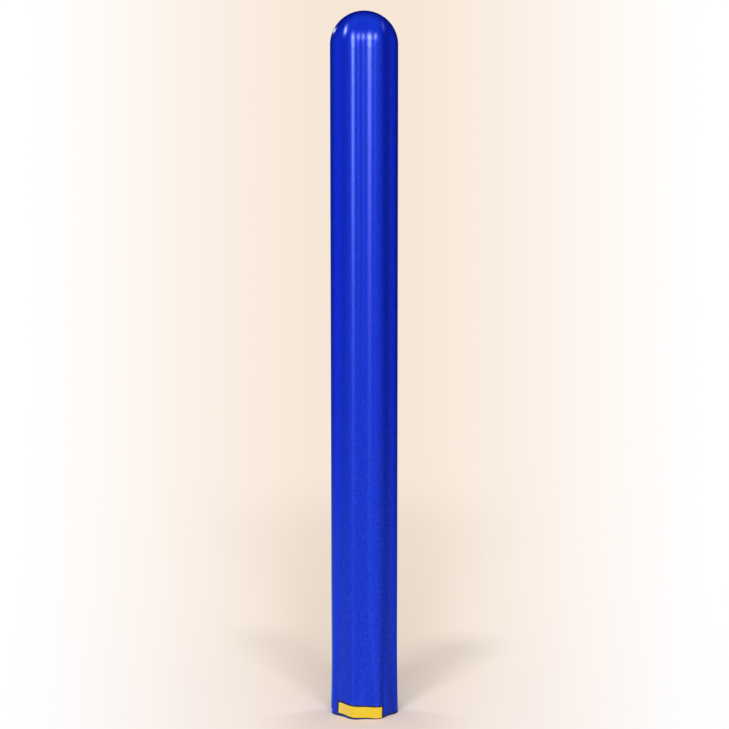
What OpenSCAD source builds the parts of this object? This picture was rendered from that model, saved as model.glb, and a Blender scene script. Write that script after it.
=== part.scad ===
// Bollard cover sleeve: a one-piece moulded plastic cover that drops over a steel pipe post.
// The sleeve stands on its rim. Z is up, the origin is the centre of the rim's plane, and the
// label faces -Y. Angles round the sleeve are turned from -Y towards +X.

/* [Sleeve] */
// Overall height, from the rim to the crown of the dome
sleeve_h = 1422.4; // [900:0.1:1800]
// Outside diameter of the round tube
sleeve_d = 133.35; // [126:0.05:145]
// Wall thickness of the moulded shell
wall_t = 3.175; // [2.5:0.005:4.5]

/* [Fluted skirt] */
// Height over which the flutes fade in, measured up from the rim
skirt_h = 320; // [200:1:450]
// Number of flutes round the rim
flutes = 8; // [6:1:12]
// Depth of a flute at the rim, from ridge to hollow
flute_depth = 6; // [3:0.1:8]
// How far the skirt's mean radius stands out at the rim
skirt_flare = 1.2; // [0:0.1:2]

/* [Foam strips] */
// Thickness of a foam strip when the post squeezes it against the wall
strip_t = 6.25; // [4:0.05:9]
// Number of foam strips in each ring
strips = 4; // [3:1:6]
// Width of a foam strip, measured along the curve of the wall
strip_w = 38.1; // [35:0.1:45]
// Length of a foam strip
strip_l = 152.4; // [100:0.1:180]
// Height of the lower strips' bottom edge above the top of the flutes
lower_strip_rise = 20; // [5:1:80]
// Distance from the foot of the dome down to the upper strips' top edge
upper_strip_drop = 20; // [5:1:80]
// Thickness of the adhesive between a foam strip and the wall
strip_bond = 0.1; // [0.05:0.01:0.3]

/* [Label] */
// Width of the label along the sleeve's curve
label_w = 101.6; // [60:0.1:120]
// Height of the label
label_h = 25.4; // [15:0.1:40]
// Thickness of the label
label_t = 0.2; // [0.1:0.01:0.4]
// Thickness of the adhesive between the label and the sleeve
label_bond = 0.2; // [0.2:0.01:0.4]
// Turn of the label's middle from the front
label_turn = -13; // [-30:0.5:30]
// Slope of the label in degrees, with its left end high
label_tilt = 3; // [0:0.1:4]
// Height of the label's lowest corner above the rim
label_lift = 0.5; // [0.4:0.1:5]

/* [Hidden] */
// The round tube, its dome and its bore
sleeve_r = sleeve_d / 2;
bore_r = sleeve_r - wall_t;
dome_foot = sleeve_h - sleeve_r;
// The tube runs this far down inside the top of the skirt, whose last ring is this much thicker
joint_lap = 2;
joint_swell = 0.08;
tube_foot = skirt_h - joint_lap;
tube_l = dome_foot - tube_foot;
round_fn = 128;

// The skirt's mesh: facets across one flute, and rings up its height
flute_facets = 12;
skirt_facets = flutes * flute_facets;
skirt_rings = 9;

// The foam strips, whose inner faces lie on the post
strip_r = bore_r - strip_bond;
post_r = strip_r - strip_t;
strip_turn = strip_w / strip_r * 180 / PI;
strip_step = 360 / strips;
lower_strip_z = skirt_h + lower_strip_rise;
upper_strip_z = dome_foot - upper_strip_drop - strip_l;

// The label's mesh, and the radius that its width is measured on
label_facets = 48;
label_rows = 3;
label_r = sleeve_r + skirt_flare;

// How far the flutes have come in at height z: 1 at the rim, 0 at the top of the skirt
function fade(z) = pow(max(0, 1 - z / skirt_h), 2);

// Outside radius of the sleeve at angle a and height z, with a hollow at the front
function skin_r(a, z) =
    sleeve_r + fade(z) * (skirt_flare - flute_depth / 2 * cos(flutes * a));

// Point at angle a from the front, at radius r and height z
function around(a, r, z) = [r * sin(a), -r * cos(a), z];

// Ring j of the skirt, at one face of its wall. side is 0 outside and 1 inside.
function skirt_ring(j, side) =
    let (z = skirt_h * j / skirt_rings)
    let (swell = (j == skirt_rings ? joint_swell : 0) * (1 - 2 * side))
    [for (i = [0 : skirt_facets - 1])
        let (a = 360 * i / skirt_facets)
        around(a, skin_r(a, z) - side * wall_t + swell, z)];

// Place of corner i of ring j in the skirt's list of points
function skirt_at(i, j, side) =
    (side * (skirt_rings + 1) + j) * skirt_facets + i % skirt_facets;

// Two triangles that fill the patch with corners p, q, r, s
function patch(p, q, r, s) = [[p, q, r], [p, r, s]];

// Joins the pairs of triangles that patch gives into one list
function flat(pairs) = [for (pair = pairs) for (face = pair) face];

// The fluted wall, lofted ring by ring, with the rim as its foot
module fluted_wall() {
    outer = [for (j = [0 : skirt_rings]) each skirt_ring(j, 0)];
    inner = [for (j = [0 : skirt_rings]) each skirt_ring(j, 1)];
    walls = [for (j = [0 : skirt_rings - 1], i = [0 : skirt_facets - 1], side = [0, 1])
        side == 0
            ? patch(skirt_at(i, j, 0), skirt_at(i, j + 1, 0),
                    skirt_at(i + 1, j + 1, 0), skirt_at(i + 1, j, 0))
            : patch(skirt_at(i, j, 1), skirt_at(i + 1, j, 1),
                    skirt_at(i + 1, j + 1, 1), skirt_at(i, j + 1, 1))];
    ends = [for (i = [0 : skirt_facets - 1], j = [0, skirt_rings])
        j == 0
            ? patch(skirt_at(i, j, 0), skirt_at(i + 1, j, 0),
                    skirt_at(i + 1, j, 1), skirt_at(i, j, 1))
            : patch(skirt_at(i, j, 0), skirt_at(i, j, 1),
                    skirt_at(i + 1, j, 1), skirt_at(i + 1, j, 0))];
    polyhedron(points = concat(outer, inner), faces = flat(concat(walls, ends)));
}

// The ring between the sleeve's skin and its bore
module wall_ring() {
    difference() {
        circle(r = sleeve_r);
        circle(r = bore_r);
    }
}

// The round tube, standing on its own foot
module round_tube() {
    linear_extrude(tube_l) wall_ring();
}

// The hemispherical dome, of the same wall as the tube
module dome() {
    rotate_extrude() intersection() {
        wall_ring();
        square(sleeve_d);
    }
}

// The one-piece shell: fluted skirt, round tube and hemispherical dome, open at the foot
module sleeve_shell() {
    $fn = round_fn;
    color("royalblue") {
        fluted_wall();
        translate([0, 0, tube_foot]) {
            round_tube();
            translate([0, 0, tube_l]) dome();
        }
    }
}

// Height and angle on the sleeve of the label's point that lies u along it and v up it
function label_z(u, v) =
    label_lift + (label_w / 2 - u) * sin(label_tilt) + v * cos(label_tilt);
function label_a(u, v) =
    label_turn + (u * cos(label_tilt) + (v - label_h / 2) * sin(label_tilt)) / label_r * 180 / PI;

// Corner of the label's mesh, in column i and row j. face is 0 outside and 1 on the adhesive.
function label_corner(i, j, face) =
    let (u = label_w * (i / label_facets - 0.5))
    let (v = label_h * j / label_rows)
    let (a = label_a(u, v))
    let (z = label_z(u, v))
    around(a, skin_r(a, z) + label_bond + (1 - face) * label_t, z);

// Place of a corner in the label's list of points
function label_at(i, j, face) =
    (face * (label_rows + 1) + j) * (label_facets + 1) + i;

// The label, wrapped over the flutes as a thin skin
module base_label() {
    corners = [for (face = [0, 1], j = [0 : label_rows], i = [0 : label_facets])
        label_corner(i, j, face)];
    skins = [for (j = [0 : label_rows - 1], i = [0 : label_facets - 1], face = [0, 1])
        face == 0
            ? patch(label_at(i, j, 0), label_at(i, j + 1, 0),
                    label_at(i + 1, j + 1, 0), label_at(i + 1, j, 0))
            : patch(label_at(i, j, 1), label_at(i + 1, j, 1),
                    label_at(i + 1, j + 1, 1), label_at(i, j + 1, 1))];
    long_edges = [for (i = [0 : label_facets - 1], j = [0, label_rows])
        j == 0
            ? patch(label_at(i, j, 0), label_at(i + 1, j, 0),
                    label_at(i + 1, j, 1), label_at(i, j, 1))
            : patch(label_at(i, j, 0), label_at(i, j, 1),
                    label_at(i + 1, j, 1), label_at(i + 1, j, 0))];
    short_edges = [for (j = [0 : label_rows - 1], i = [0, label_facets])
        i == 0
            ? patch(label_at(i, j, 0), label_at(i, j, 1),
                    label_at(i, j + 1, 1), label_at(i, j + 1, 0))
            : patch(label_at(i, j, 0), label_at(i, j + 1, 0),
                    label_at(i, j + 1, 1), label_at(i, j, 1))];
    color("gold")
        polyhedron(points = corners, faces = flat(concat(skins, long_edges, short_edges)));
}

// One foam strip, stuck to the wall, whose inner face grips the post. turn is its middle's angle.
module foam_strip(turn, foot) {
    color("dimgray")
        rotate([0, 0, turn - 90 - strip_turn / 2])
            rotate_extrude(angle = strip_turn, $fn = round_fn)
                translate([post_r, foot])
                    square([strip_t, strip_l]);
}

// Number i of the lower ring, which starts at the front
module foam_strip_lower(i) {
    foam_strip((i - 1) * strip_step, lower_strip_z);
}

// Number i of the upper ring, which is turned by half a step against the lower one
module foam_strip_upper(i) {
    foam_strip((i - 0.5) * strip_step, upper_strip_z);
}

sleeve_shell();
base_label();
for (i = [1 : strips])
    foam_strip_lower(i);
for (i = [1 : strips])
    foam_strip_upper(i);
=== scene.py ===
import math

import bmesh
import bpy
from mathutils import Matrix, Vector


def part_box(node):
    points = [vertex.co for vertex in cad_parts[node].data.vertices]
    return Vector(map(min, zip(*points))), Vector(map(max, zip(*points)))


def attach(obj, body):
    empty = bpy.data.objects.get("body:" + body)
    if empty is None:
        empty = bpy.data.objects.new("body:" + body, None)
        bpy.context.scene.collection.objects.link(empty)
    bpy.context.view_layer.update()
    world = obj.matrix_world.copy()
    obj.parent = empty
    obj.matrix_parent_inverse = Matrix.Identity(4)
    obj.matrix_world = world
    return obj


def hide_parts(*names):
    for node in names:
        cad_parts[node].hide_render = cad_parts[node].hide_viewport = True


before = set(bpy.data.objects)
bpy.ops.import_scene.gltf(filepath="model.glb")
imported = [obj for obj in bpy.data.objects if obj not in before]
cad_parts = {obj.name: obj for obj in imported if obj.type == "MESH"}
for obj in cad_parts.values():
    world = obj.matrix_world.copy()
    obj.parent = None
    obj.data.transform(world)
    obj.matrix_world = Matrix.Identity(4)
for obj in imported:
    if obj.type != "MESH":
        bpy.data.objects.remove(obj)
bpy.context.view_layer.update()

# Camera. It stands six metres in front of the sleeve, a little to the label's side, with its lens
# two metres up, and looks down at the sleeve through a long lens, as in the photograph.
camera_turn, camera_pitch, camera_roll = math.radians(3.128), math.radians(11.843), -0.000466
camera_distance, camera_height = 6.0384, 1.9847
bpy.ops.object.camera_add(location=(-camera_distance * math.sin(camera_turn),
                                    -camera_distance * math.cos(camera_turn), camera_height))
camera = bpy.context.object
camera.rotation_euler = (Matrix.Rotation(-camera_turn, 3, "Z")
                         @ Matrix.Rotation(math.pi / 2 - camera_pitch, 3, "X")
                         @ Matrix.Rotation(camera_roll, 3, "Z")).to_euler()
camera.data.sensor_width, camera.data.lens, camera.data.shift_x = 36, 152.856, 0.000366
camera.data.clip_end = 200
bpy.context.scene.camera = camera

# Sleeve shell. The real piece is a single hollow moulding of blue polyethylene, 3 mm thick: a
# round tube that is closed by a dome, and whose foot runs out into eight shallow flutes. It drops
# over the post and stands on its cut rim.
sleeve_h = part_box("sleeve_shell")[1].z
sleeve_r, wall_t = 0.066675, 0.003175
dome_foot = sleeve_h - sleeve_r
skirt_h, flutes, flute_depth, skirt_flare = 0.320, 8, 0.0060, 0.0012
columns, skirt_rings, tube_rings, dome_rings = 192, 32, 12, 30


def flute_fade(z):
    """How far the flutes have come in at height z: 1 at the rim, 0 at the top of the skirt."""
    return max(0.0, 1 - z / skirt_h) ** 2


def pick(kind, wanted):
    """Selects, in the mesh that is being edited, only the verts, edges or faces that are wanted."""
    edited = bmesh.from_edit_mesh(bpy.context.edit_object.data)
    for element in [*edited.verts, *edited.edges, *edited.faces]:
        element.select_set(False)
    for element in getattr(edited, kind):
        if wanted(element):
            element.select_set(True)
    bmesh.update_edit_mesh(bpy.context.edit_object.data)


def apply_modifier(piece, kind, **settings):
    """Finishes the piece with one modifier, and applies it."""
    modifier = piece.modifiers.new(kind.title(), kind)
    for name, value in settings.items():
        setattr(modifier, name, value)
    bpy.ops.object.modifier_apply(modifier=modifier.name)


bpy.ops.object.select_all(action="DESELECT")
rim_r = sleeve_r + skirt_flare
bpy.ops.mesh.primitive_circle_add(vertices=columns, radius=rim_r, location=(0, 0, 0))
shell = bpy.context.object
shell.name = shell.data.name = "sleeve_moulding"
bpy.ops.object.mode_set(mode="EDIT")

# The rim's ring is pressed into flutes, then drawn up and rounded off ring by ring
half_flute, same_wave = columns // flutes // 2, 0.005
for step in range(half_flute + 1):
    wave = math.cos(math.pi * step / half_flute)
    pick("verts", lambda v: abs(math.cos(flutes * math.atan2(v.co.x, -v.co.y)) - wave) < same_wave)
    swell = 1 - flute_depth / 2 * wave / rim_r
    bpy.ops.transform.resize(value=(swell, swell, 1), center_override=(0, 0, 0))
bpy.ops.mesh.select_all(action="SELECT")
low = 0.0
for ring in range(1, skirt_rings + 1):
    high = skirt_h * ring / skirt_rings
    bpy.ops.mesh.extrude_region_move(TRANSFORM_OT_translate={"value": (0, 0, high - low)})
    bpy.ops.transform.tosphere(value=1 - flute_fade(high) / flute_fade(low))
    swell = (sleeve_r + skirt_flare * flute_fade(high)) / (sleeve_r + skirt_flare * flute_fade(low))
    bpy.ops.transform.resize(value=(swell, swell, 1), center_override=(0, 0, high))
    low = high
for ring in range(tube_rings):
    lift = (dome_foot - skirt_h) / tube_rings
    bpy.ops.mesh.extrude_region_move(TRANSFORM_OT_translate={"value": (0, 0, lift)})
for ring in range(dome_rings):
    low, high = (math.radians(90 * k / dome_rings) for k in (ring, ring + 1))
    lift = sleeve_r * (math.sin(high) - math.sin(low))
    bpy.ops.mesh.extrude_region_move(TRANSFORM_OT_translate={"value": (0, 0, lift)})
    if ring < dome_rings - 1:
        swell = math.cos(high) / math.cos(low)
        bpy.ops.transform.resize(value=(swell, swell, 1), center_override=(0, 0, 0))
bpy.ops.mesh.merge(type="CENTER")
bpy.ops.mesh.select_all(action="SELECT")
bpy.ops.mesh.remove_doubles(threshold=1e-6)
bpy.ops.mesh.normals_make_consistent(inside=False)
bpy.ops.object.mode_set(mode="OBJECT")
apply_modifier(shell, "SOLIDIFY", thickness=wall_t, offset=-1, use_even_offset=True,
               material_offset=1)

# The rim is cut level, and its two sharp edges are scraped round
rim_band, rim_scrape = 5e-4, 5e-4
bpy.ops.object.mode_set(mode="EDIT")
pick("verts", lambda v: abs(v.co.z) < rim_band)
bpy.ops.transform.resize(value=(1, 1, 0), center_override=(0, 0, 0))
pick("edges", lambda e: all(v.co.z < 1e-6 for v in e.verts)
     and abs(e.verts[0].co.xy.length - e.verts[1].co.xy.length) < wall_t / 2)
bpy.ops.mesh.bevel(offset=rim_scrape, segments=3, affect="EDGES")
bpy.ops.object.mode_set(mode="OBJECT")
bpy.ops.object.shade_smooth_by_angle(angle=math.radians(35))


class Wire:
    """A value on its way through a node tree. Sums and products of wires add their Math nodes."""

    def __init__(self, tree, socket=None):
        self.tree, self.socket = tree, socket

    def node(self, kind, sockets, settings=(), out=0):
        """Adds a node: its settings first, and then a value or a wire for each named socket."""
        made = self.tree.nodes.new(kind)
        for name, value in dict(settings).items():
            if name == "stops":
                made.color_ramp.elements.remove(made.color_ramp.elements[1])
                made.color_ramp.elements[0].position = value[0][0]
                made.color_ramp.elements[0].color = value[0][1]
                for place, colour in value[1:]:
                    made.color_ramp.elements.new(place).color = colour
            else:
                setattr(made, name, value)
        for name, value in sockets.items():
            if isinstance(value, Wire):
                self.tree.links.new(value.socket, made.inputs[name])
            else:
                made.inputs[name].default_value = value
        return Wire(self.tree, made.outputs[out] if made.outputs else None)

    def maths(self, operation, *values):
        return self.node("ShaderNodeMath", dict(enumerate(values)), {"operation": operation})

    def __add__(self, other):
        return self.maths("ADD", self, other)

    def __radd__(self, other):
        return self.maths("ADD", other, self)

    def __sub__(self, other):
        return self.maths("SUBTRACT", self, other)

    def __rsub__(self, other):
        return self.maths("SUBTRACT", other, self)

    def __mul__(self, other):
        return self.maths("MULTIPLY", self, other)

    def __truediv__(self, other):
        return self.maths("DIVIDE", self, other)

    def __pow__(self, other):
        return self.maths("POWER", self, other)


def blank_material(name):
    """A new material with an empty node tree, and the wire that its nodes start from."""
    made = bpy.data.materials.new(name)
    made.use_nodes = True
    made.node_tree.nodes.clear()
    return made, Wire(made.node_tree)


def between(low, high, amount, tree):
    """The colour that lies that amount of the way from the low colour to the high one."""
    return tree.node("ShaderNodeMix", {0: amount, 6: low, 7: high}, {"data_type": "RGBA"}, out=2)


def noise(place, scale, detail=2.0, roughness=0.5):
    """Soft random values round 0.5, with scale waves to the metre."""
    return place.node("ShaderNodeTexNoise", {"Vector": place, "Scale": scale, "Detail": detail,
                                             "Roughness": roughness})


def steep(value, low, high):
    """0 where the value is under low, 1 where it is over high, and a smooth rise between."""
    return value.node("ShaderNodeMapRange", {"Value": value, "From Min": low, "From Max": high},
                      {"interpolation_type": "SMOOTHSTEP"})


sleeve_blue, sleeve_deep = (0.0002, 0.009, 0.375, 1), (0.0001, 0.007, 0.335, 1)
sleeve_fleck = (0.012, 0.035, 0.70, 1)
# A pale for wear and painted glints, and a dark for the painted shade at the rim and by the label
pale_wear_and_glint, rim_shade_colour = (0.03, 0.07, 0.46, 1), (0.020, 0.008, 0.018, 1)

# Heights above the rim up to which the painted rim shade, dust, rubbing and painted glints reach
rim_shade_top, dust_top, rub_top, glint_top = 0.0064, 0.05, 0.34, 1.1

# Where the label sits, along whose edge the skin gets a painted shade
label_w, label_h, label_lift = 0.1016, 0.0254, 0.0005
label_turn, label_tilt = math.radians(-13), math.radians(3)


def label_edge_shade(place):
    """Painted shade on the skin by the label: 1 up to 1.1 mm outside its edge, 0 from 1.7 mm on."""
    x, y, z = (place.node("ShaderNodeSeparateXYZ", {0: place}, out=axis) for axis in "XYZ")
    side = (place.maths("ARCTAN2", x, 0 - y) - label_turn) * rim_r
    rise = z - label_lift - label_w / 2 * math.sin(label_tilt) - label_h / 2
    along = side * math.cos(label_tilt) - rise * math.sin(label_tilt)
    above = rise * math.cos(label_tilt) + side * math.sin(label_tilt)
    over = place.maths("MAXIMUM", place.maths("ABSOLUTE", along) - label_w / 2,
                       place.maths("ABSOLUTE", above) - label_h / 2)
    return 1 - steep(over + noise(place, 600, 2) * 0.0002, 0.0011, 0.0017)


def moulded_blue(name, gloss, peel):
    """Glossy moulded polyethylene: mottled and flecked blue, with fine orange peel, slow waves, a few
    scuffs, dust and painted glints that thicken footwards, and painted shade at the rim and label."""
    made, tree = blank_material(name)
    place = tree.node("ShaderNodeTexCoord", {}, out="Object")
    up = tree.node("ShaderNodeSeparateXYZ", {0: place}, out="Z")
    along = tree.node("ShaderNodeMapping", {"Vector": place, "Scale": (1, 1, 0.3)})
    cloudy = noise(along, 9, 3)
    flecks = steep(noise(place, 170, 3, 0.75), 0.30, 0.70)
    scuffs = steep(noise(along, 420, 2, 0.6), 0.70, 0.76) * steep(noise(place, 14), 0.45, 0.65)
    # Painted glints: pale specks up the tube, thinning out towards 1.1 m
    painted_glints = steep(noise(place, 230, 2, 0.8), 0.50, 0.60) * steep(glint_top - up, 0.0, 1.0)
    dust = steep(dust_top - up + noise(place, 60, 3) * 0.03, 0.02, 0.06) * noise(place, 250, 3)
    rubbed_foot = steep(rub_top - up, 0.0, 0.30)
    # Painted shade: a dark band along the rim, joined by the dark line round the label
    painted_shade = steep(rim_shade_top - up + noise(place, 180, 3) * 0.0016, 0.0, 0.0038)
    painted_shade = tree.maths("MAXIMUM", painted_shade, label_edge_shade(place))
    plain = between(sleeve_deep, sleeve_blue, cloudy, tree)
    flecked = between(plain, sleeve_fleck, flecks * 0.26, tree)
    glinted = between(flecked, pale_wear_and_glint, painted_glints * 0.28, tree)
    worn = between(glinted, pale_wear_and_glint, scuffs * 0.5 + dust * 0.12, tree)
    colour = between(worn, rim_shade_colour, painted_shade * 0.95, tree)
    height = noise(place, 700, 2) * (peel * 1e-5) + noise(along, 22, 1) * 1.2e-4
    bump = tree.node("ShaderNodeBump", {"Height": height, "Strength": 1.0, "Distance": 1.0})
    surface = tree.node("ShaderNodeBsdfPrincipled", {
        "Base Color": colour, "Metallic": 0.2, "IOR": 1.5, "Specular IOR Level": 1.0,
        "Specular Tint": (0.6, 0.75, 1.0, 1),
        "Roughness": (gloss + noise(place, 35, 4) * 0.06 + painted_glints * 0.03 + rubbed_foot * 0.04
                      + scuffs * 0.2 + dust * 0.1 + painted_shade * 0.2),
        "Normal": bump})
    tree.node("ShaderNodeOutputMaterial", {"Surface": surface})
    return made


shell.data.materials.append(moulded_blue("sleeve_plastic", 0.13, 2.0))
shell.data.materials.append(moulded_blue("sleeve_inside", 0.42, 6.0))
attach(shell, "root")
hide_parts("sleeve_shell")

# Base label. The real piece is a strip of glossy yellow vinyl film with a thin dark border printed
# along its edge. It is pressed on over the flutes by hand, a little out of level.
label_t, label_bond, label_round = 0.0002, 0.00018, 0.0012
held_off, at_edge = 1.06, 1e-5
border_left, border_right, border_low, border_top = 0.0022, 0.0030, 0.0008, 0.0020
bpy.ops.object.select_all(action="DESELECT")
bpy.ops.mesh.primitive_grid_add(x_subdivisions=72, y_subdivisions=16, size=1, location=(0, 0, 0))
label = bpy.context.object
label.name = label.data.name = "label_film_strip"
bpy.ops.object.mode_set(mode="EDIT")
bpy.ops.transform.resize(value=(label_w, label_h, 1), center_override=(0, 0, 0))

# The film is die-cut with small round corners, then turned upright, and bent round the sleeve
pick("verts", lambda v: abs(v.co.x) > label_w / 2 - at_edge
     and abs(v.co.y) > label_h / 2 - at_edge)
bpy.ops.mesh.bevel(offset=label_round, segments=3, affect="VERTICES")
bpy.ops.object.mode_set(mode="OBJECT")
label.rotation_euler = (math.pi / 2, label_tilt, 0)
bpy.ops.object.transform_apply()
film_span = max(v.co.x for v in label.data.vertices) - min(v.co.x for v in label.data.vertices)
apply_modifier(label, "SIMPLE_DEFORM", deform_method="BEND", deform_axis="Z",
               angle=film_span / rim_r)
lowest = min(v.co.z for v in label.data.vertices)
label.location, label.rotation_euler = (0, -rim_r, label_lift - lowest), (0, 0, 0)
bpy.ops.object.transform_apply()

# It is held a little off the sleeve, turned to its place, and pressed on
label.rotation_euler, label.scale = (0, 0, label_turn), (held_off, held_off, 1)
bpy.ops.object.transform_apply()
apply_modifier(label, "SHRINKWRAP", target=shell, wrap_method="PROJECT", offset=label_bond,
               wrap_mode="ABOVE_SURFACE", use_negative_direction=True, use_positive_direction=False)
apply_modifier(label, "SOLIDIFY", thickness=label_t, offset=1)
bpy.ops.object.shade_smooth_by_angle(angle=math.radians(35))


def printed_film(name):
    """Glossy yellow vinyl, paler towards one end. Its dark border is printed a little off true."""
    made, tree = blank_material(name)
    place = tree.node("ShaderNodeTexCoord", {}, out="Object")
    flat = tree.node("ShaderNodeUVMap", {})
    across = tree.node("ShaderNodeSeparateXYZ", {0: flat}, out="X")
    upward = tree.node("ShaderNodeSeparateXYZ", {0: flat}, out="Y")
    ends = tree.maths("MINIMUM", across * label_w - border_left,
                      (1 - across) * label_w - border_right)
    sides = tree.maths("MINIMUM", upward * label_h - border_low,
                       (1 - upward) * label_h - border_top)
    inset = tree.maths("MINIMUM", ends, sides) + noise(place, 900, 2) * 0.0001
    lined = 1 - steep(inset, 0.0, 0.0003)
    fleck = noise(place, 380, 3)
    ink = between((0.950, 0.640, 0.025, 1), (1.000, 0.730, 0.045, 1), fleck, tree)
    faded = between(ink, (1.000, 0.860, 0.300, 1), steep(0.45 - across, 0.0, 0.42) * 0.3, tree)
    colour = between(faded, (0.020, 0.007, 0.014, 1), lined, tree)
    bump = tree.node("ShaderNodeBump", {"Height": noise(place, 240, 2) * 3e-5, "Distance": 1.0})
    surface = tree.node("ShaderNodeBsdfPrincipled", {
        "Base Color": colour, "IOR": 1.45, "Specular Tint": (1.0, 0.8, 0.4, 1),
        "Roughness": 0.28 + fleck * 0.12, "Normal": bump})
    tree.node("ShaderNodeOutputMaterial", {"Surface": surface})
    return made


label.data.materials.append(printed_film("label_film"))
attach(label, "root")
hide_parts("base_label")

# Foam strips. Eight pieces of dark closed-cell foam tape are stuck to the bore, four above the
# flutes and four under the dome. They are squeezed between the wall and the post, and grip it.
strip_t, strip_w, strip_l, strip_bond = 0.00625, 0.0381, 0.1524, 0.0001
strip_r = sleeve_r - wall_t - strip_bond
strip_arc, strip_cut = strip_w / strip_r, 0.0007
sharp_turn, glued_skin, dent_depth = 0.6, 0.0003, 0.0006


def foam_rubber(name):
    """Closed-cell foam: a dark skin full of fine cells, a little greyer where it is rubbed."""
    made, tree = blank_material(name)
    place = tree.node("ShaderNodeTexCoord", {}, out="Object")
    cells = place.node("ShaderNodeTexVoronoi", {"Vector": place, "Scale": 1100.0})
    rubbed = steep(noise(place, 55, 4), 0.45, 0.75)
    colour = between((0.011, 0.011, 0.013, 1), (0.040, 0.040, 0.043, 1), rubbed * cells, tree)
    bump = tree.node("ShaderNodeBump", {"Height": cells * 1.5e-4, "Distance": 1.0})
    surface = tree.node("ShaderNodeBsdfPrincipled", {
        "Base Color": colour, "Roughness": 0.82 + rubbed * 0.12, "Normal": bump})
    tree.node("ShaderNodeOutputMaterial", {"Surface": surface})
    return made


bpy.ops.object.select_all(action="DESELECT")
bpy.ops.mesh.primitive_grid_add(x_subdivisions=4, y_subdivisions=30, size=1, location=(0, 0, 0),
                                rotation=(math.pi / 2, 0, 0))
tape = bpy.context.object
bpy.ops.object.transform_apply()
bpy.ops.object.mode_set(mode="EDIT")
bpy.ops.transform.resize(value=(strip_t, 1, strip_l), center_override=(0, 0, 0))
bpy.ops.transform.translate(value=(strip_r - strip_t / 2, 0, strip_l / 2))
bpy.ops.mesh.spin(steps=16, angle=strip_arc, center=(0, 0, 0), axis=(0, 0, 1))
bpy.ops.mesh.select_all(action="SELECT")
bpy.ops.mesh.remove_doubles(threshold=1e-6)
bpy.ops.mesh.normals_make_consistent(inside=False)

# Its knife-cut edges are dented a little round, and its free faces are not quite even
pick("edges", lambda e: e.calc_face_angle(0) > sharp_turn)
bpy.ops.mesh.bevel(offset=strip_cut, segments=3, affect="EDGES")
bpy.ops.object.mode_set(mode="OBJECT")
free = tape.vertex_groups.new(name="free")
free.add([v.index for v in tape.data.vertices if v.co.xy.length < strip_r - glued_skin], 1.0, "ADD")
dents = bpy.data.textures.new("foam_dents", "CLOUDS")
dents.noise_scale = 0.02
apply_modifier(tape, "DISPLACE", texture=dents, texture_coords="LOCAL", mid_level=1.0,
               strength=dent_depth, vertex_group="free")
bpy.ops.object.shade_smooth_by_angle(angle=math.radians(50))
tape.vertex_groups.clear()
tape.data.materials.append(foam_rubber("foam"))

# The strips are copies of it, turned to their places from where its own middle is
tape_middle = math.atan2(sum(v.co.y for v in tape.data.vertices),
                         sum(v.co.x for v in tape.data.vertices))
for row, half_steps in (("lower", 0), ("upper", 1)):
    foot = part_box(f"foam_strip_{row}_1")[0].z
    for number in range(1, 5):
        bpy.ops.object.select_all(action="DESELECT")
        tape.select_set(True)
        bpy.context.view_layer.objects.active = tape
        bpy.ops.object.duplicate()
        strip = bpy.context.object
        strip.name = strip.data.name = f"foam_tape_{row}_{number}"
        strip.location = (0, 0, foot)
        strip.rotation_euler = (0, 0, math.radians(-180 + 90 * number + 45 * half_steps) - tape_middle)
        bpy.ops.object.transform_apply()
        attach(strip, "root")
        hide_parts(f"foam_strip_{row}_{number}")
bpy.data.objects.remove(tape)

# Studio. The sleeve stands on a cream floor sheet that fades to white at its sides, in a room
# whose tall lamps, two bright and four faint, show in its gloss as upright streaks.
floor_size, floor_drop = 90, 0.0001
bpy.ops.object.select_all(action="DESELECT")
bpy.ops.mesh.primitive_plane_add(size=floor_size, location=(0, 0, -floor_drop))
floor = bpy.context.object
floor.name = "floor"
floor.visible_glossy = False
turn_x, turn_y = math.cos(camera_turn), math.sin(camera_turn)


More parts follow.
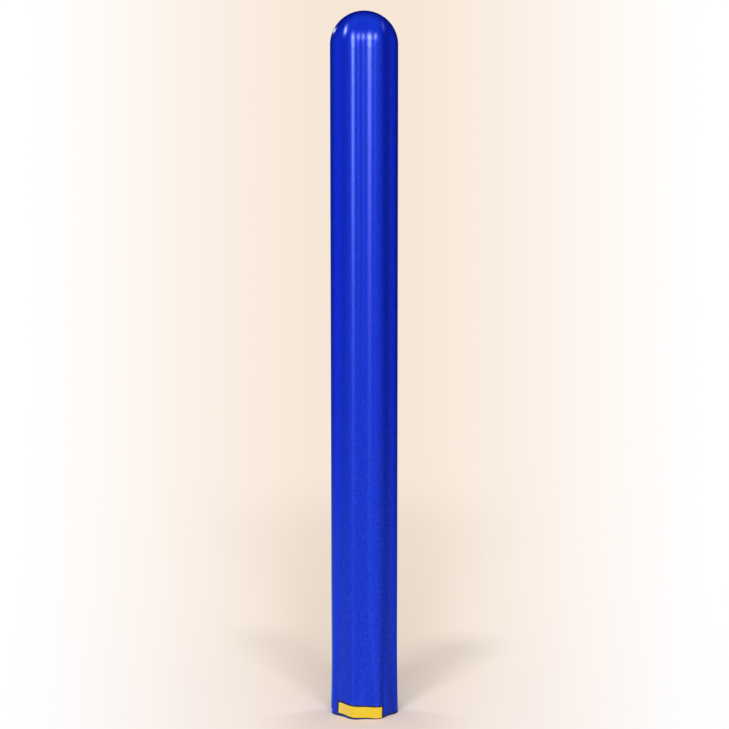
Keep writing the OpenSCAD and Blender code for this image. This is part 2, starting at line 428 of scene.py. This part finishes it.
def floor_sheet(name):
    """Cream paper. It fades to white along two lines that run back from where the camera stands,
    and has a painted shadow in front of the sleeve and another behind it."""
    made, tree = blank_material(name)
    nearest, front_shadow_edge, front_shadow_slant, shadow_behind_width = 6.1, 0.045, 0.36, 0.27
    place = tree.node("ShaderNodeTexCoord", {}, out="Object")
    x = tree.node("ShaderNodeSeparateXYZ", {0: place}, out="X")
    y = tree.node("ShaderNodeSeparateXYZ", {0: place}, out="Y")
    sideways = x * turn_x - y * turn_y
    away = x * turn_y + y * turn_x + camera_distance
    depth = away * math.cos(camera_pitch) + camera_height * math.sin(camera_pitch)
    fan = tree.maths("ABSOLUTE", sideways / tree.maths("MAXIMUM", depth, nearest)) * (
        camera.data.lens / (camera.data.sensor_width / 2))
    cream = fan.node("ShaderNodeValToRGB", {"Fac": fan}, {"stops": [
        (0.00, (0.905, 0.780, 0.665, 1)), (0.14, (0.910, 0.787, 0.674, 1)),
        (0.21, (0.935, 0.806, 0.694, 1)), (0.34, (0.947, 0.839, 0.745, 1)),
        (0.51, (0.965, 0.880, 0.815, 1)), (0.67, (0.983, 0.930, 0.888, 1)),
        (0.84, (0.991, 0.973, 0.965, 1)), (0.98, (1.0, 1.0, 1.0, 1))]})
    # Painted shadows of the sleeve on the paper: front is the one before it, and one lies behind it
    ahead = (camera_distance + front_shadow_edge - tree.maths("ABSOLUTE", sideways) * front_shadow_slant
             - away)
    front = (1 - steep(fan, 0.10, 0.33)) * steep(ahead, 0.0, 0.035) * steep(away, 5.2, 5.8)
    shadow_behind = tree.maths("EXPONENT", 0 - (fan / shadow_behind_width) ** 2) * steep(away, 6.0, 6.3) * (
        1 - steep(away, 7.4, 8.1))
    painted_shadow = tree.maths("MAXIMUM", front * 0.33, shadow_behind * 0.21)
    shade = between(cream, (0.60, 0.47, 0.37, 1), painted_shadow, tree)
    faded = between((1, 1, 1, 1), shade, steep(away, 2.5, 5.2), tree)
    paper = tree.node("ShaderNodeBsdfDiffuse", {"Color": faded})
    clear = tree.node("ShaderNodeBsdfTransparent", {})
    under = tree.node("ShaderNodeNewGeometry", {}, out="Backfacing")
    surface = tree.node("ShaderNodeMixShader", {0: under, 1: paper, 2: clear})
    tree.node("ShaderNodeOutputMaterial", {"Surface": surface})
    return made


floor.data.materials.append(floor_sheet("floor_sheet"))

studio = bpy.data.worlds.new("studio")
bpy.context.scene.world = studio
studio.use_nodes = True
studio.node_tree.nodes.clear()
sky = Wire(studio.node_tree)
toward = sky.node("ShaderNodeTexCoord", {}, out="Generated")
level = sky.node("ShaderNodeSeparateXYZ", {0: toward}, out="Z")
height = sky.maths("ARCSINE", level) * math.degrees(1)

# The skin shows a lamp where it faces half way between the lamp and the camera. So the lamps are
# placed by that half-way direction: how far it leans to the camera's right, and how far up.
glance = math.atan2(camera_height - dome_foot, camera_distance)
to_camera = (-turn_y * math.cos(glance), -turn_x * math.cos(glance), math.sin(glance))
upright = (turn_y * math.sin(glance), turn_x * math.sin(glance), math.cos(glance))
halfway = sky.node("ShaderNodeVectorMath", {0: toward, 1: to_camera}, {"operation": "ADD"})
halfway = sky.node("ShaderNodeVectorMath", {0: halfway}, {"operation": "NORMALIZE"})
across, upward = (sky.node("ShaderNodeVectorMath", {0: halfway, 1: way},
                           {"operation": "DOT_PRODUCT"}, out="Value")
                  for way in ((turn_x, -turn_y, 0), upright))


def bell(value, middle, width):
    """1 at the middle, and a smooth fall on both sides over that width."""
    offset = (value - middle) / width
    return value.maths("EXPONENT", 0 - offset * offset)


def graded(value, low, high, stops):
    """Brightness along a value that runs from low to high, given as pairs of value and level."""
    top = max(level for _, level in stops)
    ramp = value.node("ShaderNodeValToRGB", {"Fac": (value - low) / (high - low)}, {"stops": [
        ((at - low) / (high - low), (level / top, level / top, level / top, 1))
        for at, level in stops]})
    return ramp * top


# How bright a lamp is by its height in degrees, and by how far up its half-way direction leans
front = graded(height, -20, 10, [
    (-20, 0.0), (-15.7, 0.006), (-14.3, 0.01), (-12.4, 0.015), (-10.5, 0.055), (-8.6, 0.17),
    (-7, 0.33), (-6.1, 0.42), (-3, 0.50), (5, 0.60)])
crest = graded(upward, -0.1, 0.5, [
    (-0.1, 1.0), (0.07, 1.0), (0.13, 1.05), (0.19, 1.2), (0.245, 1.1), (0.30, 0.60), (0.36, 0.22),
    (0.42, 0.04), (0.46, 0.0)])

# The lamps as the tube of the sleeve shows them, the same lamps on its dome, and the windows
tubes = (bell(across, -0.325, 0.029) * 20.5 + bell(across, 0.157, 0.045) * 21.8 * front ** 0.5
         ) * front * crest
faint_tubes = (bell(across, -0.168, 0.020) * 6.2 + bell(across, -0.018, 0.024) * 5.8
               + bell(across, 0.32, 0.028) * 4.6 + bell(across, 0.43, 0.05) * 0.8) * front * crest
faint_tubes = faint_tubes + bell(across, 0.157, 0.045) * 0.25 * crest
caps = (bell(across, -0.323, 0.04) * 1.2 + bell(across, -0.163, 0.032) * 7.5
        + bell(across, -0.025, 0.035) * 6.2 + bell(across, 0.157, 0.050) * 5
        + bell(across, 0.335, 0.035) * 8.3) * bell(upward, 0.235, 0.080)
windows = (bell(across - (upward - 0.4) * 0.22, -0.545, 0.026) * bell(upward, 0.42, 0.10) * 18
           + bell(across - (upward - 0.4) * 0.46, -0.87, 0.022) * bell(upward, 0.42, 0.055) * 6
           + bell(across + (upward - 0.5) * 0.2, 0.565, 0.03) * bell(upward, 0.53, 0.11) * 1.2)

# The blue sheen of the walls, which the ceiling ends, and of the floor sheet below them
walls = graded(across, -1, 1, [
    (-1.0, 0.0), (-0.96, 0.2), (-0.91, 0.6), (-0.84, 1.5), (-0.74, 2.1), (-0.64, 1.2),
    (-0.55, 1.2), (-0.46, 1.8), (-0.28, 2.0), (0.0, 1.85), (0.26, 2.1), (0.35, 2.0), (0.42, 1.7),
    (0.50, 1.15), (0.59, 0.15), (0.65, 0.0), (0.70, 0.2), (0.77, 1.2), (0.86, 0.8), (0.94, 0.1),
    (1.0, 0.0)])
rimward = across * across + upward * upward
ceiling = 1 - steep(upward, 0.05, 0.35) * steep(rimward, 0.50, 0.92)
grazing = 0.2 + steep(upward, -0.55, -0.36) * 0.8
aside = steep(sky.maths("ABSOLUTE", across), 0.38, 0.74)
tint = between((0.065, 0.23, 1.0, 1), (0.02, 0.115, 1.0, 1), aside, sky)
below = steep(0 - height, 12.0, 17.5) * (1 - steep(across, 0.75, 0.95))
foot = steep(0 - upward, 0.168, 0.195)
near_left, near_right = bell(across, -0.59, 0.10) * foot, bell(across, 0.64, 0.09) * foot

# The gloss mirrors all of these together. Everything matt gets an even light instead, and the
# camera sees plain cream.
mirrored = None
for colour, strength in (
        ((1, 1, 1, 1), windows), ((1.28, 1.0, 0.66, 1), caps), ((0.92, 1.0, 1.0, 1), tubes),
        ((0.44, 0.64, 1.0, 1), faint_tubes),
        (tint, walls * ceiling * grazing + near_right * 0.62),
        ((0.38, 0.78, 1.0, 1), below * 0.27 + near_left * 0.42)):
    shine = sky.node("ShaderNodeBackground", {"Color": colour, "Strength": strength})
    mirrored = sky.node("ShaderNodeAddShader", {0: mirrored, 1: shine}) if mirrored else shine
soft = sky.node("ShaderNodeBackground", {"Color": (1, 1, 1, 1), "Strength": 0.60})
cream_sky = sky.node("ShaderNodeBackground", {"Color": (1.0, 0.93, 0.86, 1), "Strength": 1.0})
in_gloss = sky.node("ShaderNodeLightPath", {}, out="Is Glossy Ray")
seen = sky.node("ShaderNodeLightPath", {}, out="Is Camera Ray")
room = sky.node("ShaderNodeMixShader", {0: in_gloss, 1: soft, 2: mirrored})
sky.node("ShaderNodeOutputWorld", {"Surface": sky.node("ShaderNodeMixShader", {
    0: seen, 1: room, 2: cream_sky})})
studio.cycles.sampling_method = "NONE"

# Four soft lamps stand on the camera's side. The two high ones throw the short dark shadows, and
# the two low ones the long pale ones.
for lamp_name, turn, climb, strength, spread in (
        ("high_left", -25, 70.5, 0.62, 6), ("high_right", 22.5, 68.5, 0.38, 6),
        ("low_left", -8, 42, 0.26, 11), ("low_right", 8, 42, 0.285, 11)):
    bpy.ops.object.light_add(type="SUN", location=(0, 0, 4))
    lamp = bpy.context.object
    lamp.name = f"lamp_{lamp_name}"
    lamp.rotation_euler = (math.radians(90 - climb), 0, math.radians(turn) - camera_turn)
    lamp.data.energy, lamp.data.angle = strength, math.radians(spread)
    lamp.visible_glossy = False

bpy.context.scene.view_settings.view_transform = "Standard"
